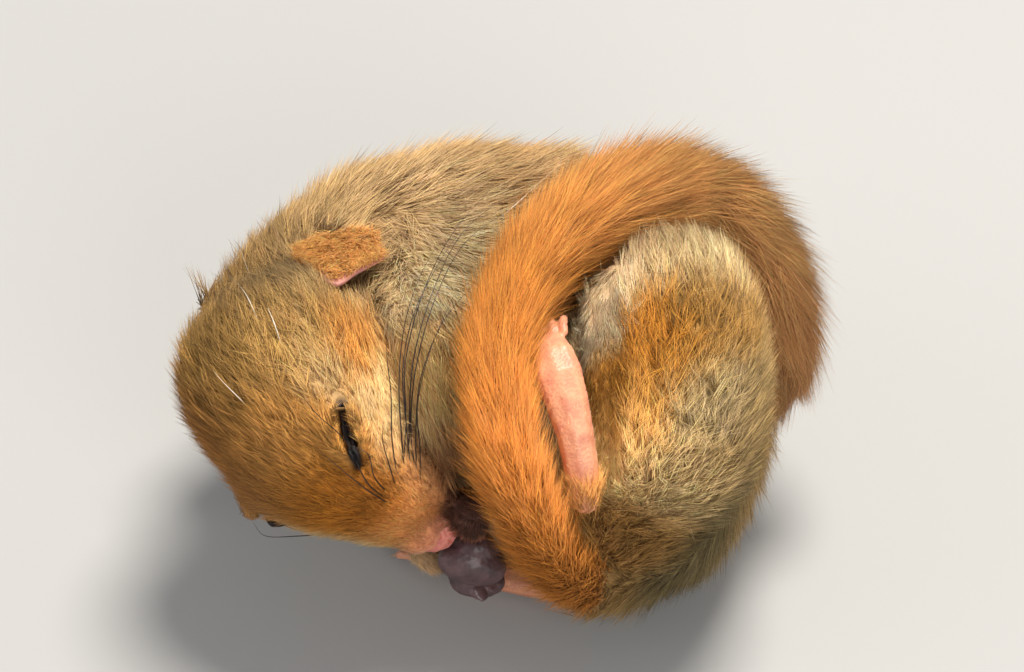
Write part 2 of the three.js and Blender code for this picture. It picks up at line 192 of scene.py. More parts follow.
GROWTH = {
    "head": head_line([
        [-0.6, 0, 0.2, 2.3, 0.47, 0.12, 0.025], [-3.4, 0, 0.5, 4.7, 0.86, 0.2, 0.03],
        [-7, 0, 1.2, 6.2, 1.33, 0.3, 0.033], [-10.6, 0, 2.2, 7.8, 1.9, 0.5, 0.035],
        [-14, 0, 2.3, 8.5, 2.5, 0.7, 0.038], [-18, 0, 1.8, 8.8, 2.95, 0.9, 0.042],
        [-21.5, 0, 1.4, 8.5, 3.2, 1.05, 0.044], [-24.5, 0, 1, 7.4, 3.28, 1.1, 0.045]]),
    "neck": [[-15, -1, 19, 7.5, 3.28, 1.1, 0.045], [-13, 3, 17.5, 9.3, 3.43, 1.2, 0.045],
             [-8, 6.5, 17.5, 11, 3.59, 1.2, 0.045]],
    "front": [[-12.5, 8.8, 14.5, 11, 3.59, 1.3, 0.045], [-5, 7.9, 14.4, 13.6, 3.74, 1.3, 0.045],
              [3, 7.7, 14.2, 13.8, 3.74, 1.3, 0.045], [10, 6.5, 14.2, 12.5, 3.74, 1.3, 0.045]],
    "rear": [[12, 8.5, 14.6, 11, 3.74, 1.3, 0.045], [13.5, 0, 13.8, 11.6, 3.59, 1.2, 0.045],
             [10, -8.5, 11.5, 10, 3.28, 1.1, 0.045], [6, -13, 9, 7, 2.96, 1, 0.043]],
    "left arm": [[-6, 5, 24, 4.8, 3.28, 1.1, 0.045], [-2.5, -4, 22.5, 5.7, 2.96, 1, 0.043],
                 [0.5, -10.5, 17.8, 4, 2.03, 0.7, 0.04]],
    "left forearm": [[-0.2, -11.6, 15.4, 2.3, 1.56, 0.4, 0.035],
                     [-0.2, -11.2, 12.8, 1.9, 1.09, 0.3, 0.03],
                     [-0.2, -10.6, 10.4, 1.4, 0.62, 0.2, 0.025]],
    "right arm": [[-8, 3, 7.5, 5.5, 3.12, 1, 0.045], [-4.5, -2, 6.5, 5, 2.81, 0.9, 0.043],
                  [-2, -5.5, 5.5, 3.5, 2.03, 0.7, 0.04]],
    "right forearm": [[-4.6, -6, 5.2, 2.4, 1.56, 0.4, 0.035], [-3.4, -7.6, 5.2, 2, 1.09, 0.3, 0.03],
                      [-2.3, -8.8, 5.2, 1.5, 0.62, 0.2, 0.025]],
    "left thigh": [[11, -12.5, 13, 7.2, 2.5, 0.9, 0.04], [14, -8, 18.5, 8.4, 2.5, 0.9, 0.04],
                   [13.8, 0, 24, 7.5, 2.65, 0.9, 0.04], [12, 5.5, 25.5, 5.2, 2.65, 0.9, 0.04]],
    "left shank": [[9, -1, 27.6, 2.4, 2.18, 0.5, 0.037], [9.3, -8, 25.4, 2.5, 1.56, 0.4, 0.035],
                   [9.2, -14.2, 20.4, 1.9, 1.09, 0.3, 0.03]],
    "right thigh": [[12, -9, 5.5, 6.5, 2.65, 0.9, 0.043], [10, -3, 6, 7, 2.65, 0.9, 0.043],
                    [6, 2, 6, 5.4, 2.65, 0.9, 0.043]],
    "right shank": [[6.4, 3, 2.8, 2.2, 1.72, 0.4, 0.035], [6.6, -2, 2.8, 2.2, 1.4, 0.4, 0.035],
                    [6.4, -6.4, 2.6, 1.6, 1.09, 0.3, 0.03]],
}
growth_rows, growth_headings = [], []
for stations in GROWTH.values():
    along = line_through(stations, 4 * len(stations))
    step = np.gradient(along[:, :3], axis=0)
    growth_rows.append(along)
    growth_headings.append(step / np.linalg.norm(step, axis=1)[:, None])
growth_rows = np.vstack(growth_rows)
growth_headings = np.vstack(growth_headings)


def growth_at(points):
    """Heading of the hair, its length, the coat's height and the hair's width at some places."""
    away = np.linalg.norm(points[:, None] - growth_rows[None, :, :3], axis=2)
    weight = (growth_rows[None, :, 3] / np.maximum(away, 0.2)) ** 9
    weight /= weight.sum(1)[:, None]
    heading = weight @ growth_headings
    heading /= np.maximum(np.linalg.norm(heading, axis=1), 1e-6)[:, None]
    sizes = weight @ growth_rows[:, 4:]
    return heading, sizes[:, 0], sizes[:, 1], sizes[:, 2]


def tail_share(points):
    """For each place, its number along the tail, and how far it is from the tail's middle line."""
    away = np.linalg.norm(points[:, None] - tail_middle[None], axis=2)
    nearest = away.argmin(1)
    return nearest, away[np.arange(len(points)), nearest]


def numbers(mesh_part, name, width, kind=np.float32):
    """One value of every point, corner or face of a mesh, as an array."""
    found = np.empty(len(mesh_part) * width, kind)
    mesh_part.foreach_get(name, found)
    return found.reshape(-1, width) if width > 1 else found


def chunked(rule, points):
    """A rule applied to many places, some thousands at a time."""
    parts = [rule(points[i:i + 20000]) for i in range(0, len(points), 20000)]
    if isinstance(parts[0], tuple):
        return tuple(np.concatenate([part[i] for part in parts]) for i in range(len(parts[0])))
    return np.concatenate(parts)


hide_points = numbers(hide.data.vertices, "co", 3)
hide_normals = numbers(hide.data.vertices, "normal", 3)
near_tail, tail_distance = chunked(tail_share, hide_points)
on_tail = tail_distance < tail_places[near_tail, 3] * TAIL_FLESH_SHARE + 0.45
_, _, coat_height, _ = chunked(growth_at, hide_points)
hide_depth = np.where(on_tail, 0.1, 0.22 + 1.15 * np.maximum(coat_height - 0.16, 0))
hide_points = hide_points - hide_normals * hide_depth[:, None]
hide.data.vertices.foreach_set("co", hide_points.ravel())
hide.data.update()

# Places that were judged from the front and above, in a view of 1024 by 672 points:
# `on_hide` drops a point of that view onto the skin, and `lift` raises it off the skin.
VIEW_WIDTH = 1024
VIEW_MIDDLE = (512, 336)
VIEW_RISE = math.radians(46)
VIEW_AWAY = 380.0
VIEW_SCALE = 0.075
view_aim = Vector((2.4, 1.87, 18.8))
view_look = Vector((0, math.cos(VIEW_RISE), -math.sin(VIEW_RISE)))
view_top = Vector((0, math.sin(VIEW_RISE), math.cos(VIEW_RISE)))
hide_normals = numbers(hide.data.vertices, "normal", 3)
hide.data.calc_loop_triangles()
triangle_corners = numbers(hide.data.loop_triangles, "loops", 3, np.int32)
triangle_points = numbers(hide.data.loop_triangles, "vertices", 3, np.int32)
triangle_faces = numbers(hide.data.loop_triangles, "polygon_index", 1, np.int32)
triangle_on_tail = on_tail[triangle_points[:, 0]]


def skin_tree(wanted):
    return BVHTree.FromPolygons([Vector(point) for point in hide_points],
                                [tuple(int(i) for i in row) for row in triangle_points[wanted]])


body_tree = skin_tree(~triangle_on_tail)


def level_with(x, y):
    """The place beside `view_aim`, as far off as it, that stands at a point of the view."""
    return (view_aim + (x - VIEW_MIDDLE[0]) * VIEW_SCALE * Vector((1, 0, 0))
            + (VIEW_MIDDLE[1] - y) * VIEW_SCALE * view_top)


def on_hide(x, y, lift=0.0):
    eye = view_aim - VIEW_AWAY * view_look
    target = level_with(x, y)
    hit, normal, _, _ = body_tree.ray_cast(eye, target - eye)
    if hit is None:
        hit, normal, _, _ = body_tree.find_nearest(target)
    return np.array(hit + float(lift) * (0.5 * normal - 0.5 * view_look))


EYE_LINE = [on_hide(x, y) for x, y in
            ((342, 404), (346, 419), (350, 437), (355, 454), (359, 466))]

# Markings: golden buff fur, brighter orange on the snout, the streak below the ear, the saddle
# of the haunch and the tail, cream on the cheek, the belly and the rim of the haunch, and an
# olive-grey tint on the crown and the lower flank. Two places are not markings: painted light
# makes the top of the shoulder beside the tail paler, and painted shade makes the forearm between
# the muzzle and the tail dark brown. Each row: x, y, z, reach, red, green, blue as seen in
# daylight, weight, and the share of dark-tipped hairs.
MARKINGS = np.array([
    [-13.0, 5.0, 26.0, 9.0, 192, 158, 108, 1.0, 0.10],
    [-6.0, 7.0, 28.6, 7.0, 210, 174, 126, 1.0, 0.14],
    [0.0, 10.0, 29.3, 7.0, 214, 172, 120, 1.0, 0.10],
    [8.0, 11.0, 28.0, 7.0, 212, 172, 124, 1.0, 0.08],
    [-18.0, 2.0, 20.0, 8.0, 158, 120, 66, 1.1, 0.10],
    [-18.8, -8.9, 25.0, 4.5, 152, 116, 60, 1.3, 0.10],
    [-13.5, -8.5, 27.6, 3.6, 214, 168, 100, 1.6, 0.24],
    [-11.0, -9.8, 26.3, 1.9, 222, 184, 130, 2.0, 0.02],
    [-12.0, -13.3, 22.5, 3.6, 206, 148, 76, 1.6, 0.06],
    [-16.5, -12.4, 21.4, 4.2, 196, 140, 72, 1.4, 0.06],
    [-18.5, -10.0, 17.0, 5.0, 176, 118, 58, 1.2, 0.06],
    [-9.8, -14.8, 18.6, 3.4, 194, 124, 42, 2.0, 0.03],
    [-7.0, -13.6, 17.6, 2.6, 204, 130, 52, 2.2, 0.02],
    [-4.6, -13.0, 14.4, 2.2, 248, 166, 96, 2.8, 0.00],
    [-8.2, -6.8, 26.6, 2.0, 216, 144, 68, 2.4, 0.02],
    [-7.6, -8.0, 25.6, 1.7, 220, 152, 76, 2.0, 0.02],
    [-6.0, -9.4, 23.0, 2.4, 250, 200, 140, 3.0, 0.00],
    [-5.6, -11.6, 20.6, 2.0, 236, 190, 132, 2.8, 0.00],
    [-4.2, -12.0, 17.6, 1.8, 232, 164, 104, 2.0, 0.00],
    # Painted light: these two rows paint the top of the shoulder, beside the tail, paler than the fur,
    # for the light that falls there.
    [-2.2, 2.0, 27.8, 5.0, 255, 222, 172, 2.4, 0.03],
    [-3.0, -7.1, 26.7, 3.6, 244, 192, 124, 2.0, 0.04],
    [-1.9, -11.3, 20.1, 3.0, 170, 122, 82, 1.8, 0.04],
    # Painted shade: dark brown on the left forearm, in the shadow between the muzzle and the tail.
    [-0.4, -11.4, 13.5, 2.6, 96, 62, 50, 3.0, 0.00],
    [9.0, -14.4, 22.4, 3.0, 252, 194, 124, 2.8, 0.06],
    [10.8, -12.4, 25.4, 2.8, 214, 150, 70, 2.4, 0.18],
    [13.4, -9.6, 28.0, 3.2, 194, 126, 42, 2.4, 0.26],
    [17.4, -7.2, 28.2, 3.2, 176, 132, 68, 2.2, 0.30],
    [12.0, 1.1, 30.0, 3.6, 226, 188, 140, 2.4, 0.06],
    [15.8, -0.5, 30.6, 3.6, 238, 200, 146, 2.2, 0.14],
    [8.6, -3.0, 28.6, 3.0, 236, 200, 156, 2.6, 0.02],
    [7.4, -13.8, 24.8, 1.6, 226, 176, 134, 2.2, 0.02],
    [16.5, -12.2, 25.6, 3.4, 200, 176, 128, 1.8, 0.34],
    [19.5, -11.9, 21.5, 4.0, 168, 140, 92, 1.6, 0.26],
    [15.0, -15.8, 19.4, 3.8, 224, 188, 130, 2.0, 0.26],
    [10.5, -16.3, 14.0, 3.4, 178, 132, 72, 2.0, 0.14],
    [9.0, -16.0, 8.0, 4.0, 172, 136, 84, 1.6, 0.10],
    [17.5, -11.8, 10.0, 5.0, 128, 112, 76, 1.4, 0.16],
    [22.0, -2.0, 12.0, 6.0, 176, 142, 92, 1.2, 0.12],
    [14.0, 14.0, 18.0, 9.0, 206, 160, 102, 1.0, 0.10],
    [-4.0, 20.0, 18.0, 10.0, 206, 158, 98, 1.0, 0.12],
    [-16.0, 12.0, 14.0, 8.0, 200, 152, 92, 1.0, 0.10],
    [0.0, 4.0, 0.0, 12.0, 222, 188, 142, 2.0, 0.02],
    [-12.0, -8.0, 6.0, 6.0, 212, 178, 130, 1.6, 0.03],
    [-1.0, -8.0, 6.0, 5.0, 190, 150, 112, 1.6, 0.02],
])
TAIL_MARKINGS = [[158, 104, 48], [192, 122, 50], [204, 126, 54], [206, 132, 60], [222, 150, 84],
                 [232, 166, 104], [210, 150, 96], [172, 126, 82]]


def daylight(colour):
    """Plain red, green and blue out of 255, as the linear values that the shader takes."""
    return (np.asarray(colour, float) / 255) ** 2.2


def body_colour(points):
    """Colour of the fur, with its painted light and shade, and the share of dark tips at some places
    on the body.
    """
    away = np.linalg.norm(points[:, None] - MARKINGS[None, :, :3], axis=2)
    weight = MARKINGS[:, 7] * np.exp(-1.6 * (away / MARKINGS[:, 3]) ** 2) + 1e-5
    weight /= weight.sum(1)[:, None]
    colour = daylight(weight @ MARKINGS[:, 4:7])
    by_eye = np.clip((eye_distance(points) - 0.3) / 0.45, 0, 1)[:, None]
    to_side = np.abs((points - NOSE_TIP) @ HEAD_LEFT)
    by_nose = np.clip((np.linalg.norm(points - NOSE_TIP, axis=1) - 1.6) / 2.4, 0, 1)
    by_nose = np.clip(by_nose + np.clip(to_side - 2.0, 0, 1), 0, 1)[:, None]
    colour = daylight([238, 158, 124]) * (1 - by_nose) + colour * by_nose
    return daylight([26, 17, 12]) * (1 - by_eye) + colour * by_eye, weight @ MARKINGS[:, 8]


def mirrored(points):
    """The same places on the other side of the head."""
    away = (np.asarray(points) - NOSE_TIP) @ HEAD_LEFT / (HEAD_LEFT @ HEAD_LEFT)
    return np.asarray(points) - 2 * away[..., None] * HEAD_LEFT


def eye_distance(points):
    """How far some places are from the nearer line of closed lids."""
    lines = np.vstack([line_through(EYE_LINE, 24), mirrored(line_through(EYE_LINE, 24))])
    return np.linalg.norm(points[:, None] - lines[None], axis=2).min(1)


def tail_colour(along):
    """Colour of the brush at shares of the tail's length."""
    rows = np.array(TAIL_MARKINGS, float)
    stops = np.linspace(0, 1, len(rows))
    return daylight(np.stack([np.interp(along, stops, rows[:, i]) for i in range(3)], 1))


def paint(mesh, colours):
    """A colour on every point of a mesh, as the attribute that the coat's finish reads."""
    layer = mesh.attributes.new("fur_colour", "FLOAT_COLOR", "POINT")
    layer.data.foreach_set("color", np.column_stack([colours, np.ones(len(colours))])
                           .astype(np.float32).ravel())


hide_colour, _ = chunked(body_colour, hide_points)
hide_colour = np.where(on_tail[:, None], tail_colour(near_tail / (len(tail_middle) - 1)), hide_colour)
# Painted shade: the skin under the coat takes the fur's colours darkened to 0.72, for the shade that
# falls among the hairs.
paint(hide.data, hide_colour * 0.72)


class Wire:
    """An output of a shader node. Plain arithmetic on it adds Math nodes to its tree."""

    def __init__(self, tree, socket=None):
        self.tree, self.socket = tree, socket

    def node(self, kind, settings=None, sockets=None, output=0):
        made = self.tree.nodes.new(kind)
        for name, value in (settings or {}).items():
            if name == "stops":
                while len(made.color_ramp.elements) < len(value):
                    made.color_ramp.elements.new(1)
                for element, (position, colour) in zip(made.color_ramp.elements, value):
                    element.position, element.color = position, (*colour, 1)
            else:
                setattr(made, name, value)
        for name, value in (sockets or {}).items():
            if isinstance(value, Wire):
                self.tree.links.new(value.socket, made.inputs[name])
            else:
                made.inputs[name].default_value = value
        return Wire(self.tree, made.outputs[output])

    def math(self, operation, first, second):
        return self.node("ShaderNodeMath", {"operation": operation}, {0: first, 1: second})

    def blended(self, way, share, other):
        """This colour mixed with another one: share is the amount of the other."""
        return self.node("ShaderNodeMix", {"data_type": "RGBA", "blend_type": way},
                         {0: share, 6: self, 7: other}, 2)

    def __add__(self, other):
        return self.math("ADD", self, other)

    def __radd__(self, other):
        return self.math("ADD", other, self)

    def __mul__(self, other):
        return self.math("MULTIPLY", self, other)

    def __rmul__(self, other):
        return self.math("MULTIPLY", other, self)


def finish_of(name, fixed):
    """A new material with its uniform values set on the shader, its shader, and its tree."""
    material = bpy.data.materials.new(name)
    material.use_nodes = True
    tree = material.node_tree
    shader = tree.nodes["Principled BSDF"]
    for socket, value in fixed.items():
        shader.inputs[socket].default_value = value
    return material, shader, Wire(tree)


def joined(shader, socket, wire):
    """The wire's colour or value as what a socket of the shader takes."""
    wire.tree.links.new(wire.socket, shader.inputs[socket])


def coat_finish(name, bump):
    """Dry, soft fur: its colour from the markings and their painted light and shade, faintly uneven
    from patch to patch.
    """
    material, shader, start = finish_of(name, {"Specular IOR Level": 0.28})
    place = start.node("ShaderNodeTexCoord", output=3)
    grain = start.node("ShaderNodeTexNoise", None, {"Vector": place, "Scale": 420.0, "Detail": 0.0})
    marks_and_painted_light = start.node("ShaderNodeAttribute", {"attribute_name": "fur_colour"})
    joined(shader, "Base Color", marks_and_painted_light.blended("MULTIPLY", 1.0, 0.82 + 0.36 * grain))
    joined(shader, "Roughness", 0.5 + 0.16 * grain)
    if bump:
        nap = start.node("ShaderNodeTexNoise", None, {"Vector": place, "Scale": 3800.0, "Detail": 2.0})
        joined(shader, "Normal", start.node("ShaderNodeBump", None, {
            "Strength": 0.6, "Distance": 0.0002, "Height": nap}))
    return material


hide_finish = coat_finish("shaded_underfur", True)
coat_material = coat_finish("coat", False)
hide.data.materials.clear()
hide.data.materials.append(hide_finish)

# Unwrap of the hide, one for the body and one for the tail, each over the whole square, so that
# every hair has its own patch at its root's place. The hide itself keeps no map.
hide.data.polygons.foreach_set("use_smooth", np.ones(len(hide.data.polygons), bool))


def unwrapped(wanted):
    """The map of the wanted faces, one pair of numbers for each corner of the hide."""
    layer = hide.data.uv_layers.new(name="hide_map")
    hide.data.uv_layers.active = layer
    hide.data.polygons.foreach_set("select", wanted)
    bpy.context.view_layer.objects.active = hide
    hide.select_set(True)
    bpy.ops.object.mode_set(mode="EDIT")
    bpy.ops.mesh.select_mode(type="FACE")
    bpy.ops.uv.smart_project(angle_limit=math.radians(66), island_margin=0.004)
    bpy.ops.object.mode_set(mode="OBJECT")
    layer = hide.data.uv_layers["hide_map"]
    found = numbers(layer.data, "uv", 2)
    hide.data.uv_layers.remove(layer)
    return found


edge_a = hide_points[triangle_points[:, 1]] - hide_points[triangle_points[:, 0]]
edge_b = hide_points[triangle_points[:, 2]] - hide_points[triangle_points[:, 0]]
triangle_area = 0.5 * np.linalg.norm(np.cross(edge_a, edge_b), axis=1)

# Coat: fine hairs in small tufts of a few that lean together, lying back along the growth and
# bedded down to the skin below them, so that they overlap like the real plush fur.
# Each hair is a closed sliver from a small ring at its root to its tip, with a patch of the map.
rng = np.random.default_rng(20)
HAIRS_PER_TUFT = 6
PATCH = 0.003
FACES_PER_PIECE = 196000
LOWEST_HAIR = np.array([-1000, -1000, 0.06])


def unit(rows):
    return rows / np.maximum(np.linalg.norm(rows, axis=1), 1e-9)[:, None]


def scattered(wanted, count, density):
    """Roots of tufts over the wanted triangles: place, skin direction and place on the map."""
    corner_map = unwrapped(np.isin(np.arange(len(hide.data.polygons)), triangle_faces[wanted]))
    chosen = np.nonzero(wanted)[0]
    middles = hide_points[triangle_points[chosen]].mean(1)
    share = triangle_area[chosen] * chunked(density, middles)
    picked = chosen[rng.choice(len(chosen), count, p=share / share.sum())]
    a, b = rng.random(count), rng.random(count)
    over = a + b > 1
    a[over], b[over] = 1 - a[over], 1 - b[over]
    mix = np.stack([1 - a - b, a, b], 1)[:, :, None]
    at = (hide_points[triangle_points[picked]] * mix).sum(1)
    out = unit((hide_normals[triangle_points[picked]] * mix).sum(1))
    flat = (corner_map[triangle_corners[picked]] * mix).sum(1)
    return at, out, flat


def bedded(tree, points, height, stray):
    """Places lowered or raised to stand at a height over the skin nearest to them."""
    kept = points.copy()
    for i, point in enumerate(points):
        below, normal, _, away = tree.find_nearest(Vector(point), stray[i])
        if below is not None:
            kept[i] = np.array(below) + np.array(normal) * height[i]
    return kept


# Faces of one hair, a long tetrahedron: points 0 to 2 are its ring and point 3 is its tip
SLIVER = np.array([[0, 2, 1], [3, 0, 1], [3, 1, 2], [3, 2, 0]])
ON_PATCH = np.array([[0, 0], [1, 0], [0.5, 0.2], [0.5, 1]]) - 0.5


def coat_pieces(name, hairs, tones):
    """Closed slivers from root to tip, made into pieces of bounded size."""
    per_piece = FACES_PER_PIECE // len(SLIVER)
    for number, first in enumerate(range(0, len(tones), per_piece), 1):
        part = slice(first, first + per_piece)
        side, width, flat = [each[part] for each in hairs[2:5]]
        root, tip = [np.maximum(each[part], LOWEST_HAIR) for each in hairs[:2]]
        face_up = unit(np.cross(tip - root, side))
        half = width[:, None]
        ring = [root + half * (math.cos(turn) * side + 0.7 * math.sin(turn) * face_up)
                for turn in (math.pi / 2, math.pi * 7 / 6, math.pi * 11 / 6)]
        points = np.stack([*ring, tip], 1).reshape(-1, 3)
        faces = (SLIVER[None] + 4 * np.arange(len(root))[:, None, None]).reshape(-1)
        mesh = bpy.data.meshes.new(name)
        mesh.vertices.add(len(points))
        mesh.vertices.foreach_set("co", points.astype(np.float32).ravel())
        mesh.loops.add(len(faces))
        mesh.loops.foreach_set("vertex_index", faces.astype(np.int32))
        mesh.polygons.add(len(faces) // 3)
        mesh.polygons.foreach_set("loop_start", np.arange(0, len(faces), 3, dtype=np.int32))
        mesh.update(calc_edges=True)
        mesh.polygons.foreach_set("use_smooth", np.ones(len(faces) // 3, bool))
        spots = (flat[:, None] + PATCH * ON_PATCH[None]).reshape(-1, 2)
        layer = mesh.uv_layers.new(name="OFBake")
        layer.data.foreach_set("uv", spots[faces].astype(np.float32).ravel())
        paint(mesh, tones[part][:, [0, 0, 0, 1]].reshape(-1, 3))
        mesh.transform(to_metres)
        mesh.materials.append(coat_material)
        piece = bpy.data.objects.new(f"{name}_{number}", mesh)
        bpy.context.scene.collection.objects.link(piece)
        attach(piece, "root")


def hairs_from(at, out, flat, lie, length, height, width, tree, spread, splay, lift_jitter):
    """Many hairs from tufts: root, tip, sideways direction, width, map place and tuft of each."""
    tufts = len(at)
    turn = rng.normal(0, 1, tufts) * splay
    side = unit(np.cross(out, lie))
    forth = unit(np.cross(side, out))
    heading = forth * np.cos(turn)[:, None] + side * np.sin(turn)[:, None]
    side = unit(np.cross(out, heading))
    tuft_length = length * rng.uniform(0.8, 1.15, tufts)
    tuft_height = height * np.clip(rng.normal(1, lift_jitter, tufts), 0.45, 2.4)
    tip = bedded(tree, at + heading * tuft_length[:, None], tuft_height, tuft_length * 0.9)
    n = HAIRS_PER_TUFT
    every = np.repeat(np.arange(tufts), n)
    off_side = rng.normal(0, 1, tufts * n)[:, None] * spread[every][:, None] * side[every]
    off_forth = rng.normal(0, 1, tufts * n)[:, None] * spread[every][:, None] * heading[every]
    grow = rng.uniform(0.72, 1.12, tufts * n)[:, None]
    rise = (rng.normal(0, 0.26, tufts * n) * height[every])[:, None] * out[every]
    root = at[every] + off_side + off_forth - 0.12 * out[every]
    hair_tip = at[every] + (tip - at)[every] * grow + 0.5 * off_side + 0.8 * off_forth + rise
    hair_width = width[every] * rng.uniform(0.7, 1.2, tufts * n)
    hair_flat = flat[every] + rng.normal(0, 0.0008, (tufts * n, 2))
    order = rng.permutation(tufts * n)
    return [each[order] for each in (root, hair_tip, side[every], hair_width, hair_flat, every)]


def hair_tones(colour, dark, every, root_shade, tip_light):
    """Root and tip colours, a little different from tuft to tuft and from hair to hair."""
    tuft_tone = rng.normal(1, 0.09, len(colour))[every]
    tone = (tuft_tone * np.clip(rng.normal(1, 0.24, len(every)), 0.4, 1.7))[:, None]
    warm = np.column_stack([np.ones(len(every)), 1 + rng.normal(0, 0.035, len(every)),
                            1 + rng.normal(0, 0.09, len(every))])
    base = colour[every] * tone * warm
    tip = base * tip_light
    dark_hair = rng.random(len(every)) < dark[every]
    tip = np.where(dark_hair[:, None], daylight([74, 54, 30]) * tone, tip)
    return np.clip(np.stack([base * root_shade, tip], 1), 0.002, 0.95)


def body_density(points):
    _, length, _, width = growth_at(points)
    return 1 / (length * width)


BODY_TUFTS = 38000
BARE_BY_LIDS = 0.62
BARE_BY_NOSE = 1.7
at, out, flat = scattered(~triangle_on_tail, BODY_TUFTS, body_density)
by_eye = chunked(eye_distance, at)
open_fur = (by_eye > BARE_BY_LIDS) & (np.linalg.norm(at - NOSE_TIP, axis=1) > BARE_BY_NOSE)
at, out, flat, by_eye = at[open_fur], out[open_fur], flat[open_fur], by_eye[open_fur]
lie, length, height, width = chunked(growth_at, at)
length = length * np.clip((by_eye - 0.3) / 1.5, 0.15, 1)
height = height * np.clip(by_eye / 1.5, 0.3, 1)
colour, dark = chunked(body_colour, at)
splay = 0.2 + 1.5 * dark  # dark-tipped hair is coarser and lies less even
hairs = hairs_from(at, out, flat, lie, length, height, 1.06 * width, body_tree, 0.1 * length,
                   splay, 0.3)
coat_pieces("coat", hairs, hair_tones(colour, dark, hairs[5], 0.6, 1.2))

# Brush of the tail: longer hair that leans out from the tail towards its tip on all sides, with
# loose ends that stand past the outline, longest towards the tip.
TAIL_TUFTS = 10500
tail_tree = skin_tree(triangle_on_tail)
at, out, flat = scattered(triangle_on_tail, TAIL_TUFTS, lambda points: np.ones(len(points)))
along, _ = tail_share(at)
share = along / (len(tail_middle) - 1)
brush = tail_places[along, 3] * (1 - TAIL_FLESH_SHARE)
length = np.interp(share, [0, 0.12, 0.5, 1], [2.6, 4.2, 5.6, 7.0])
hairs = hairs_from(at, out, flat, tail_heading[along], length, brush, np.full(TAIL_TUFTS, 0.042),
                   tail_tree, np.full(TAIL_TUFTS, 0.5), 0.26, 0.3)
coat_pieces("tail_brush", hairs,
            hair_tones(tail_colour(share), np.full(TAIL_TUFTS, 0.02), hairs[5], 0.62, 1.3))

hide.data.transform(to_metres)
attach(hide, "root")
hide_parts(*FLESH_NODES, *TAIL_NODES)

# Down on bare parts: very short, sparse pale hairs. They grow from places spread over a finished
# form, which is unwrapped so that each has its patch.


def down_on(made, name, count, heading, length, height, width, colour, wanted):
    """Short hairs at the wanted places of a form that is still in millimetres."""
    bpy.context.view_layer.objects.active = made
    for other in bpy.context.selected_objects:
        other.select_set(False)
    made.select_set(True)
    made.data.polygons.foreach_set("select", np.ones(len(made.data.polygons), bool))
    layer = made.data.uv_layers.new(name="down_map")
    bpy.ops.object.mode_set(mode="EDIT")
    bpy.ops.uv.smart_project(angle_limit=math.radians(66), island_margin=0.01)
    bpy.ops.object.mode_set(mode="OBJECT")
    layer = made.data.uv_layers["down_map"]
    map_places = numbers(layer.data, "uv", 2)
    corners = numbers(made.data.loops, "vertex_index", 1, np.int32)
    places = numbers(made.data.vertices, "co", 3)
    outs = numbers(made.data.vertices, "normal", 3)
    made.data.uv_layers.remove(layer)
    on_map = np.zeros((len(places), 2))
    on_map[corners] = map_places
    picked = rng.choice(np.nonzero(wanted(places))[0], count)
    tree = BVHTree.FromPolygons([Vector(place) for place in places],
                                [tuple(face.vertices) for face in made.data.polygons])
    hairs = hairs_from(places[picked], outs[picked], on_map[picked], np.tile(heading, (count, 1)),
                       np.full(count, length), np.full(count, height), np.full(count, width), tree,
                       np.full(count, 0.15 * length), 0.35, 0.35)
    shades = hair_tones(daylight(np.tile(colour, (count, 1))), np.zeros(count), hairs[5], 0.9, 1.1)
    coat_pieces(name, hairs, shades)


# Closed eyes: the lids are two thin black rims of bare skin that meet in a slit, set into the fur
# along the line of the lids. One is shaped and the other is its mirror image.
LID_HALF_WIDTH = 0.46
LID_RISE = 0.3
LID_LIFT = 0.34
SLIT_DEPTH = 0.34
SLIT_SHARE = 0.2


def bare_finish(name, tone, patch_tone, fixed, scale, depth, gloss):
    """Moist bare skin: uneven colour in soft patches, fine scales or creases as relief."""
    material, shader, start = finish_of(name, fixed)
    place = start.node("ShaderNodeTexCoord", output=3)
    cloud = start.node("ShaderNodeTexNoise", None, {"Vector": place, "Scale": 900.0, "Detail": 4.0})
    scales = start.node("ShaderNodeTexVoronoi", None, {"Vector": place, "Scale": scale})
    spread = start.node("ShaderNodeValToRGB", {"stops": [(0.35, (0, 0, 0)), (0.65, (1, 1, 1))]},
                        {"Fac": cloud})
    mixed = start.node("ShaderNodeMix", {"data_type": "RGBA"}, {
        0: spread, 6: (*daylight(tone), 1), 7: (*daylight(patch_tone), 1)}, 2)
    joined(shader, "Base Color", mixed.blended("MULTIPLY", 0.35, 0.6 + 0.55 * scales))
    joined(shader, "Roughness", gloss + 0.2 * cloud)
    joined(shader, "Normal", start.node("ShaderNodeBump", None, {
        "Strength": 0.7, "Distance": depth, "Height": scales + 0.5 * cloud}))
    return material


def settled(made, kind, finish, *nodes):
    """A finished piece, set down in metres in its place."""
    made.data.transform(to_metres)
    made.data.materials.clear()
    made.data.materials.append(finish)
    made.data.polygons.foreach_set("use_smooth", np.ones(len(made.data.polygons), bool))
    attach(made, "root")
    if nodes:
        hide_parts(*nodes)
    return made


head_mirror = Matrix.Identity(4)
to_left = Vector(HEAD_LEFT).normalized()
for i in range(3):
    for j in range(3):
        head_mirror[i][j] -= 2 * to_left[i] * to_left[j]
head_mirror = Matrix.Translation(NOSE_TIP) @ head_mirror @ Matrix.Translation(-NOSE_TIP)


def other_side(made, name):
    """The mirror image of a head piece that is still in millimetres."""
    shell = bmesh.new()
    shell.from_mesh(made.data)
    shell.transform(head_mirror)
    bmesh.ops.reverse_faces(shell, faces=shell.faces)
    return object_from(shell, name)


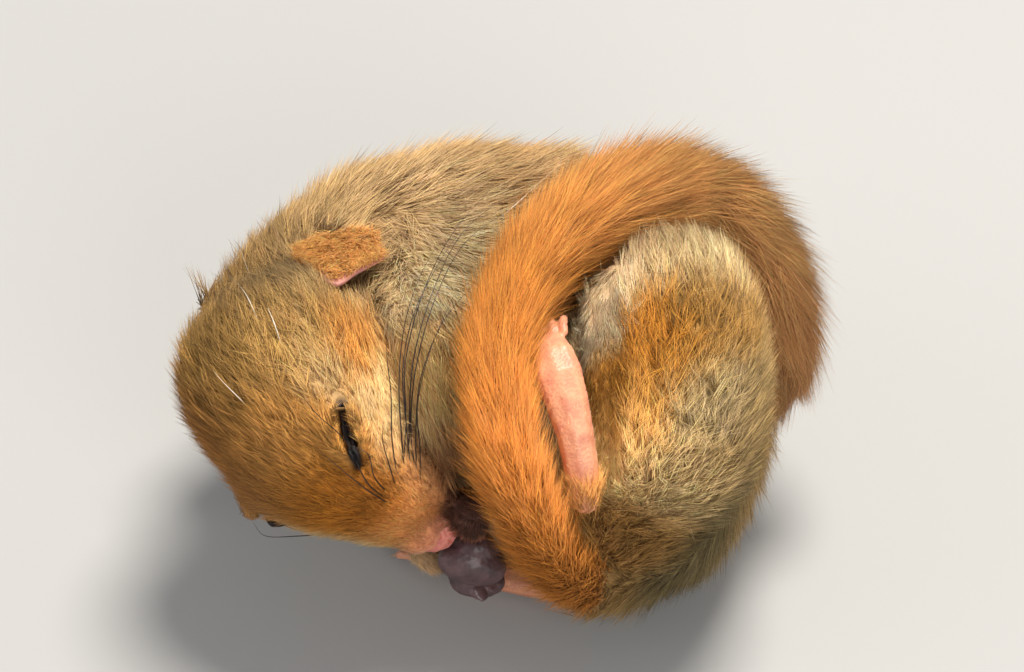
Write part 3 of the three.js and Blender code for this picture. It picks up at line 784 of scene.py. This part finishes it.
lid_line = line_through(EYE_LINE, 41)
lid_out = []
for place in lid_line:
    _, normal, _, _ = body_tree.find_nearest(Vector(place))
    lid_out.append(normal)
lid_out = np.array(lid_out)
lid_out = unit(lid_out.mean(0)[None] + 0.3 * lid_out)
lid_shell = bmesh.new()
bmesh.ops.create_uvsphere(lid_shell, u_segments=32, v_segments=40, radius=1)
for vert in lid_shell.verts:
    at_line = (vert.co.z + 1) * 20
    i = min(int(at_line), 39)
    middle = lid_line[i] * (1 - at_line + i) + lid_line[i + 1] * (at_line - i)
    heading = unit((lid_line[i + 1] - lid_line[i])[None])[0]
    across = np.cross(lid_out[i], heading)
    slit = SLIT_DEPTH * math.exp(-(vert.co.x / SLIT_SHARE) ** 2) if vert.co.y > 0 else 0
    rise = LID_RISE * vert.co.y - slit
    vert.co = Vector(middle + LID_HALF_WIDTH * vert.co.x * across + (rise + LID_LIFT) * lid_out[i])
lid_left = object_from(lid_shell, "lids_left")
lid_right = other_side(lid_left, "lids_right")
lid_finish = bare_finish("lid skin", [30, 20, 18], [16, 11, 10], {
    "Specular IOR Level": 0.3}, 2600.0, 0.00004, 0.55)
settled(lid_left, "eye", lid_finish, "eye_left")
settled(lid_right, "eye", lid_finish, "eye_right")

# Nose: a small bare pink pad, moist and finely pebbled, with two comma nostrils.
nose_finish = bare_finish("nose skin", [222, 138, 120], [196, 108, 98], {
    "Specular IOR Level": 0.5, "Subsurface Weight": 0.25, "Subsurface Scale": 0.0006,
    "Subsurface Radius": (1.0, 0.35, 0.2)}, 4200.0, 0.00005, 0.3)
nose = refleshed(copied_solids(["nose"], 0.0), "nose_pad", 0.1, 3)
nose_places = numbers(nose.data.vertices, "co", 3)
nose_outs = numbers(nose.data.vertices, "normal", 3)
nose_tree = BVHTree.FromPolygons([Vector(place) for place in nose_places],
                                 [tuple(face.vertices) for face in nose.data.polygons])
NOSTRIL_VIEW = (438, 534)
NOSTRIL_DEPTH = 0.5
NOSTRIL_RADIUS = 0.18
NOSTRIL_RIM = 0.1
nostril = np.array(nose_tree.ray_cast(level_with(*NOSTRIL_VIEW) - 60 * view_look, view_look)[0])
for pit in (nostril, mirrored(nostril)):
    away = nose_places - pit
    off_middle = np.linalg.norm(away - (away @ HEAD_UP)[:, None] * 0.45 * HEAD_UP, axis=1)
    nose_places = nose_places - nose_outs * (
        NOSTRIL_DEPTH * np.exp(-(off_middle / NOSTRIL_RADIUS) ** 2)
        - NOSTRIL_RIM * np.exp(-((off_middle - 0.42) / 0.14) ** 2))[:, None]
nose.data.vertices.foreach_set("co", nose_places.astype(np.float32).ravel())
nose.data.update()
down_on(nose, "nose_down", 420, -HEAD_FORWARD, 0.5, 0.1, 0.014, [226, 152, 112],
        lambda places: (places - NOSE_TIP) @ HEAD_FORWARD < -1.1)
settled(nose, "bare_skin", nose_finish, "nose")

# Ears: thin rounded flaps that are folded forward over their opening in sleep. The back of the
# flap carries short orange down, its rim and its hollow are bare and purplish pink.
# Rows of the flap from its root to its rim, as points of the view, the lift of each off the skin,
# and the points where the flap rests, which set its slope
EAR_ROWS = [[(300, 243), (318, 235), (338, 230), (358, 227), (374, 232)],
            [(296, 252), (314, 250), (336, 250), (358, 243), (379, 239)],
            [(294, 263), (314, 272), (337, 284), (361, 272), (386, 259)]]
EAR_LIFT = [[0.1, 0.1, 0.1, 0.1, 0.1], [1.1, 2.0, 2.4, 2.3, 1.7], [1.0, 1.7, 1.9, 2.2, 2.0]]
EAR_SEAT = [(298, 246), (316, 252), (334, 262), (300, 278), (328, 292), (286, 262)]
seat = np.array([[1, *spot, (Vector(on_hide(*spot)) - view_aim).dot(view_look)] for spot in EAR_SEAT])
slope = np.linalg.lstsq(seat[:, :3], seat[:, 3], rcond=None)[0]


def ear_place(x, y, lift, free):
    """A place of the flap: on the hide where it is rooted, on its own even slope where it is free."""
    rooted = Vector(on_hide(x, y))
    depth = (rooted - view_aim).dot(view_look)
    wanted = min(float(slope @ (1, x, y)), depth) * free + depth * (1 - free)
    return np.array(rooted + (wanted - depth - lift) * view_look)


ear_points = [[ear_place(*spot, lift, free) for spot, lift in zip(row, lifts)]
              for row, lifts, free in zip(EAR_ROWS, EAR_LIFT, (0.0, 0.8, 1.0))]
ear_across = [line_through(row, 25) for row in ear_points]
ear_grid = np.array([line_through([row[i] for row in ear_across], 17) for i in range(25)])
ear_shell = bmesh.new()
bmesh.ops.create_grid(ear_shell, x_segments=24, y_segments=16, size=1)
for vert in ear_shell.verts:
    vert.co = Vector(ear_grid[round((vert.co.x + 1) * 12), round((vert.co.y + 1) * 8)])
bmesh.ops.recalc_face_normals(ear_shell, faces=ear_shell.faces)
if sum((face.normal.dot(view_look) for face in ear_shell.faces)) > 0:
    bmesh.ops.reverse_faces(ear_shell, faces=ear_shell.faces)
bmesh.ops.solidify(ear_shell, geom=ear_shell.faces[:], thickness=0.32)
bmesh.ops.bevel(ear_shell, geom=[edge for edge in ear_shell.edges if edge.calc_face_angle(0) > 1],
                offset=0.1, segments=2, profile=0.5, affect="EDGES", material=-1)
ear_left = object_from(ear_shell, "ear_flap_left")
ear_right = other_side(ear_left, "ear_flap_right")
ear_finish = bare_finish("ear skin", [196, 138, 124], [164, 112, 112], {
    "Specular IOR Level": 0.35}, 2200.0, 0.00005, 0.45)

EAR_TUFTS = 1300
ear_cells = np.stack([rng.uniform(0.3, 23.7, EAR_TUFTS), rng.uniform(0.2, 14.2, EAR_TUFTS)], 1)
cell = ear_cells.astype(int)
rest = (ear_cells - cell)[:, :, None]
near = [ear_grid[cell[:, 0] + i, cell[:, 1] + j] for i, j in ((0, 0), (1, 0), (0, 1), (1, 1))]
at = ((near[0] * (1 - rest[:, 0]) + near[1] * rest[:, 0]) * (1 - rest[:, 1])
      + (near[2] * (1 - rest[:, 0]) + near[3] * rest[:, 0]) * rest[:, 1])
lie = unit(near[2] - near[0])
out = unit(np.cross(near[1] - near[0], near[2] - near[0]))
out *= -np.sign(out @ np.array(view_look))[:, None]
ear_tree = BVHTree.FromPolygons([Vector(point) for point in ear_grid.reshape(-1, 3)],
                                [(17 * i + j, 17 * i + j + 1, 17 * i + j + 18, 17 * i + j + 17)
                                 for i in range(24) for j in range(16)])
if ear_tree.find_nearest(Vector(at[0]))[1].dot(Vector(out[0])) < 0:
    ear_tree = BVHTree.FromPolygons([Vector(point) for point in ear_grid.reshape(-1, 3)],
                                    [(17 * i + j + 17, 17 * i + j + 18, 17 * i + j + 1, 17 * i + j)
                                     for i in range(24) for j in range(16)])
ear_flat = ear_cells / np.array([24, 16])
ear_colour = daylight(np.tile([244, 166, 94], (EAR_TUFTS, 1)))
hairs = hairs_from(at, out, ear_flat, lie, np.full(EAR_TUFTS, 2.1), np.full(EAR_TUFTS, 0.62),
                   np.full(EAR_TUFTS, 0.032), ear_tree, np.full(EAR_TUFTS, 0.2), 0.4, 0.5)
tones = hair_tones(ear_colour, np.full(EAR_TUFTS, 0.03), hairs[5], 0.75, 1.3)
coat_pieces("ear_down_left", hairs, tones)
hairs[0], hairs[1] = mirrored(hairs[0]), mirrored(hairs[1])
hairs[2] = -(mirrored(hairs[2]) - mirrored(np.zeros(3)))
coat_pieces("ear_down_right", hairs, tones)
settled(ear_left, "bare_skin", ear_finish, "ear_left")
settled(ear_right, "bare_skin", ear_finish, "ear_right")

# Paws: bare skin in fine creases, salmon on the feet. The clenched hands are the same pinkish
# skin in painted shade, a dark purplish grey. Each is one soft form over its palm or sole and its
# toes.
foot_finish = bare_finish("foot skin", [226, 158, 120], [206, 132, 102], {
    "Specular IOR Level": 0.5}, 4600.0, 0.00004, 0.34)
# Painted shade: the hands' pink skin is darkened to a purplish grey, for the shade they lie in below
# the muzzle.
shaded_hand_finish = bare_finish("shaded hand skin", [98, 74, 74], [74, 56, 58], {
    "Specular IOR Level": 0.5}, 2400.0, 0.00006, 0.3)
HEEL = np.array([7.9, -16.6, 19.2])
FOOT_HEADING = {"foot_left": np.array([-0.3, 0.6, 0.7]), "foot_right": np.array([-0.9, 0.4, 0])}
# Middle and radii of each clenched fist, its tilt, and how far its fingers stand out of it
FISTS = {"hand_left": ((-0.6, -11.2, 7.8), (2.7, 1.5, 1.75)),
         "hand_right": ((-0.3, -9.9, 4.8), (2.3, 1.5, 1.3))}
FIST_TILT = Matrix.Rotation(math.radians(20), 4, "Y")
FIST_GRIP = 1.08
for name, kind, finish, voxel, rounds in (
        ("foot_left", "bare_skin", foot_finish, 0.14, 4),
        ("foot_right", "bare_skin", foot_finish, 0.14, 4),
        ("hand_left", "bare_skin", shaded_hand_finish, 0.14, 5),
        ("hand_right", "dark_paw", shaded_hand_finish, 0.14, 6)):
    paw_shell = copied_solids([name], -0.1 if name in FOOT_HEADING else 0.12)
    if name in FISTS:
        fist_middle, fist_radii = FISTS[name]
        fist = Matrix.Translation(fist_middle) @ FIST_TILT @ Matrix.Diagonal((*fist_radii, 1))
        for vert in paw_shell.verts:
            reach = (fist.inverted() @ vert.co).length
            if vert.co.z < fist_middle[2] and reach > FIST_GRIP:
                vert.co = fist @ ((fist.inverted() @ vert.co) * FIST_GRIP / reach)
        bmesh.ops.create_uvsphere(paw_shell, u_segments=24, v_segments=16, radius=1, matrix=fist)
    paw_skin = refleshed(paw_shell, name + "_skin", voxel, rounds)
    if name in FOOT_HEADING:
        down_on(paw_skin, name + "_down", 700, FOOT_HEADING[name], 0.6, 0.1, 0.01,
                [236, 184, 146], lambda places: np.ones(len(places), bool))
    if name == "foot_left":
        down_on(paw_skin, "heel_fur", 200, FOOT_HEADING[name], 2.1, 0.4, 0.03, [206, 146, 80],
                lambda places: np.linalg.norm(places - HEEL, axis=1) < 2.3)
    settled(paw_skin, kind, finish, name)

# Claws: short curved horn points, one let into the end of each toe of the feet. The fists hold
# their claws inside their grip.
CLAW_LENGTH = 0.9
CLAW_RADIUS = 0.17
TOES_PER_FOOT = 5
TOE_LENGTH = 3.4
TOE_SPREAD = 1.4
# Stations of each sole, its way up and the curl of its toes
TOES = {
    "foot_left": ([[7.9, -16.6, 19.2], [7, -13.6, 24.4], [5.7, -10.2, 27.6], [4.6, -6.6, 27.9]],
                  (0, -0.75, 0.66), 0.7),
    "foot_right": ([[6.2, -8.6, 1.8], [2.6, -7.2, 1.6], [-2, -5, 1.5], [-4.2, -3.6, 1.4]],
                   (0, 0, 1), 0.4),
}
KNUCKLE_PLACE = 88
claw_shell = bmesh.new()
for sole, up, curl in TOES.values():
    path = line_through(sole, 101)
    at_knuckle = path[KNUCKLE_PLACE]
    forward = unit((path[KNUCKLE_PLACE + 1] - path[KNUCKLE_PLACE - 1])[None])[0]
    sideways = unit(np.cross(forward, up)[None])[0]
    top = np.cross(sideways, forward)
    for i in range(TOES_PER_FOOT):
        across = 2 * i / (TOES_PER_FOOT - 1) - 1
        reach = TOE_LENGTH * (1 - 0.22 * across ** 2)
        tip = (at_knuckle + across * TOE_SPREAD * 1.35 * sideways
               + (reach - 0.45 * curl) * forward - curl * top)
        heading = Vector(forward * 0.8 - top * 0.5 * (0.4 + curl)).normalized()
        known = len(claw_shell.verts)
        cone = bmesh.ops.create_cone(claw_shell, cap_ends=True, segments=10, radius1=CLAW_RADIUS,
                                     radius2=0.02, depth=CLAW_LENGTH)["verts"]
        rim = {edge for vert in cone for edge in vert.link_edges
               if abs(edge.verts[0].co.z - edge.verts[1].co.z) > 0.5 * CLAW_LENGTH}
        bmesh.ops.subdivide_edges(claw_shell, edges=list(rim), cuts=4)
        horn = list(claw_shell.verts)[known:]
        for vert in horn:
            along = vert.co.z / CLAW_LENGTH + 0.5
            vert.co.y -= 0.28 * along ** 2
        turn = Matrix((Vector(sideways), -heading.cross(Vector(sideways)), heading)).transposed()
        seat = Vector(tip) + heading * (0.5 * CLAW_LENGTH - 0.25)
        bmesh.ops.transform(claw_shell, verts=horn,
                            matrix=Matrix.Translation(seat) @ turn.to_4x4())
bmesh.ops.recalc_face_normals(claw_shell, faces=claw_shell.faces)
claws = object_from(claw_shell, "claws")
horn_finish = bare_finish("claw horn", [196, 162, 132], [150, 116, 92], {
    "Specular IOR Level": 0.5}, 5200.0, 0.00001, 0.25)
settled(claws, "bare_skin", horn_finish)

# Whiskers: stiff tapering bristles in rows on the muzzle pads, most of them black, swept back
# over the cheek in sleep, with a few long white hairs among the fur of the crown.
RINGS = 26
SIDES = 5


def bristles(name, lines, root_radius, finish):
    """Tapering round bristles along lines of places, as one mesh."""
    points, faces = [], []
    for line in lines:
        path = np.maximum(line_through(line, RINGS), LOWEST_HAIR)
        heading = unit(np.gradient(path, axis=0))
        side = unit(np.cross(heading, np.array(view_look)))
        over = np.cross(heading, side)
        start = len(points) * SIDES
        for i in range(RINGS):
            radius = root_radius * (1 - 0.92 * (i / (RINGS - 1)) ** 1.3)
            points.append(path[i] + radius * np.array([
                math.cos(math.tau * k / SIDES) * side[i] + math.sin(math.tau * k / SIDES) * over[i]
                for k in range(SIDES)]))
        for i in range(RINGS - 1):
            ring = start + SIDES * i
            faces += [(ring + k, ring + (k + 1) % SIDES, ring + SIDES + (k + 1) % SIDES,
                       ring + SIDES + k) for k in range(SIDES)]
        faces += [tuple(start + k for k in range(SIDES)),
                  tuple(start + SIDES * RINGS - 1 - k for k in range(SIDES))]
    mesh = bpy.data.meshes.new(name)
    mesh.from_pydata(np.concatenate(points).tolist(), [], faces)
    shell = bmesh.new()
    shell.from_mesh(mesh)
    bmesh.ops.recalc_face_normals(shell, faces=shell.faces)
    bpy.data.meshes.remove(mesh)
    return settled(object_from(shell, name), "coat", finish)


BLACK_WHISKERS = [
    [(404, 470), (404, 420), (410, 360), (424, 300), (452, 240), (492, 196)],
    [(410, 472), (409, 420), (416, 360), (432, 300), (462, 240), (506, 204)],
    [(416, 474), (412, 420), (419, 360), (437, 300), (468, 246), (516, 212)],
    [(412, 480), (404, 430), (407, 370), (417, 320), (436, 274), (462, 236)],
    [(406, 478), (398, 430), (400, 380), (408, 330), (420, 290), (438, 250)],
    [(399, 482), (389, 440), (386, 396), (389, 350), (397, 312)],
    [(397, 490), (385, 462), (377, 440), (372, 420)],
    [(390, 496), (372, 474), (362, 452), (352, 436)],
    [(386, 500), (364, 478), (340, 446), (318, 412), (296, 385)],
    [(392, 506), (366, 486), (344, 462), (322, 440)],
    [(418, 482), (414, 440), (424, 380), (442, 330), (470, 290)],
    [(421, 490), (417, 450), (421, 400), (433, 350), (452, 300)],
]
WHITE_HAIRS = [
    [(283, 350), (272, 318), (258, 282), (243, 250)], [(250, 410), (242, 396), (231, 382), (222, 370)],
    [(490, 225), (512, 210), (536, 192), (560, 175)], [(262, 330), (250, 300), (240, 280)],
]


def swept(spots, start, top):
    """A whisker's places: rooted in the skin and rising off it to `top` at its end."""
    rise = np.linspace(0, 1, len(spots)) ** 0.6 * (top - start) + start
    return [on_hide(*spot, lift) for spot, lift in zip(spots, rise)]


whisker_finish = bare_finish("whisker", [22, 16, 14], [40, 28, 22], {
    "Specular IOR Level": 0.6}, 3000.0, 0.00001, 0.25)
white_finish = bare_finish("white hair", [238, 230, 214], [210, 196, 172], {
    "Specular IOR Level": 0.5}, 3000.0, 0.00001, 0.35)
black_lines = [swept(spots, -0.2, 2.3) for spots in BLACK_WHISKERS]
bristles("whiskers_left", black_lines, 0.065, whisker_finish)
bristles("whiskers_right", [mirrored(line) for line in black_lines[5:8]], 0.055, whisker_finish)
bristles("white_hairs", [swept(spots, -0.2, 1.9) for spots in WHITE_HAIRS], 0.045, white_finish)

# Floor and studio: a plain pale table, a large soft light nearly overhead, a weaker one from the
# front, a faint one from the left and the even light of a pale room.
floor_shell = bmesh.new()
bmesh.ops.create_grid(floor_shell, x_segments=1, y_segments=1, size=2)
floor = object_from(floor_shell, "table_top")
floor_finish, floor_shader, _ = finish_of("pale table", {
    "Base Color": (0.4, 0.395, 0.38, 1), "Roughness": 0.8})
floor.data.materials.append(floor_finish)


LIT_PLACE = Vector((0, 0, 0.015))


def soft_light(name, place, size, power, colour):
    data = bpy.data.lights.new(name, "AREA")
    data.shape = "DISK"
    data.size = size
    data.energy = power
    data.color = colour
    made = bpy.data.objects.new(name, data)
    made.location = place
    made.rotation_euler = (LIT_PLACE - Vector(place)).to_track_quat("-Z", "Y").to_euler()
    bpy.context.scene.collection.objects.link(made)


soft_light("key", (0.08, 0.10, 0.45), 0.18, 3.3, (1, 0.96, 0.9))
soft_light("front", (0.16, -0.42, 0.26), 0.3, 1.2, (1, 0.98, 0.96))
soft_light("left", (-0.42, -0.10, 0.24), 0.35, 0.45, (0.95, 0.97, 1))
world = bpy.data.worlds.new("room")
world.use_nodes = True
world.node_tree.nodes["Background"].inputs["Color"].default_value = (0.9, 0.93, 1, 1)
world.node_tree.nodes["Background"].inputs["Strength"].default_value = 0.36
bpy.context.scene.world = world
bpy.context.scene.view_settings.view_transform = "Standard"

lens = bpy.data.cameras.new("camera")
lens.sensor_width = 36
lens.lens = lens.sensor_width * VIEW_AWAY / (VIEW_WIDTH * VIEW_SCALE)
lens.clip_start = 0.01
camera = bpy.data.objects.new("camera", lens)
camera.location = to_metres @ (view_aim - VIEW_AWAY * view_look)
camera.rotation_euler = view_look.to_track_quat("-Z", "Y").to_euler()
bpy.context.scene.collection.objects.link(camera)
bpy.context.scene.camera = camera
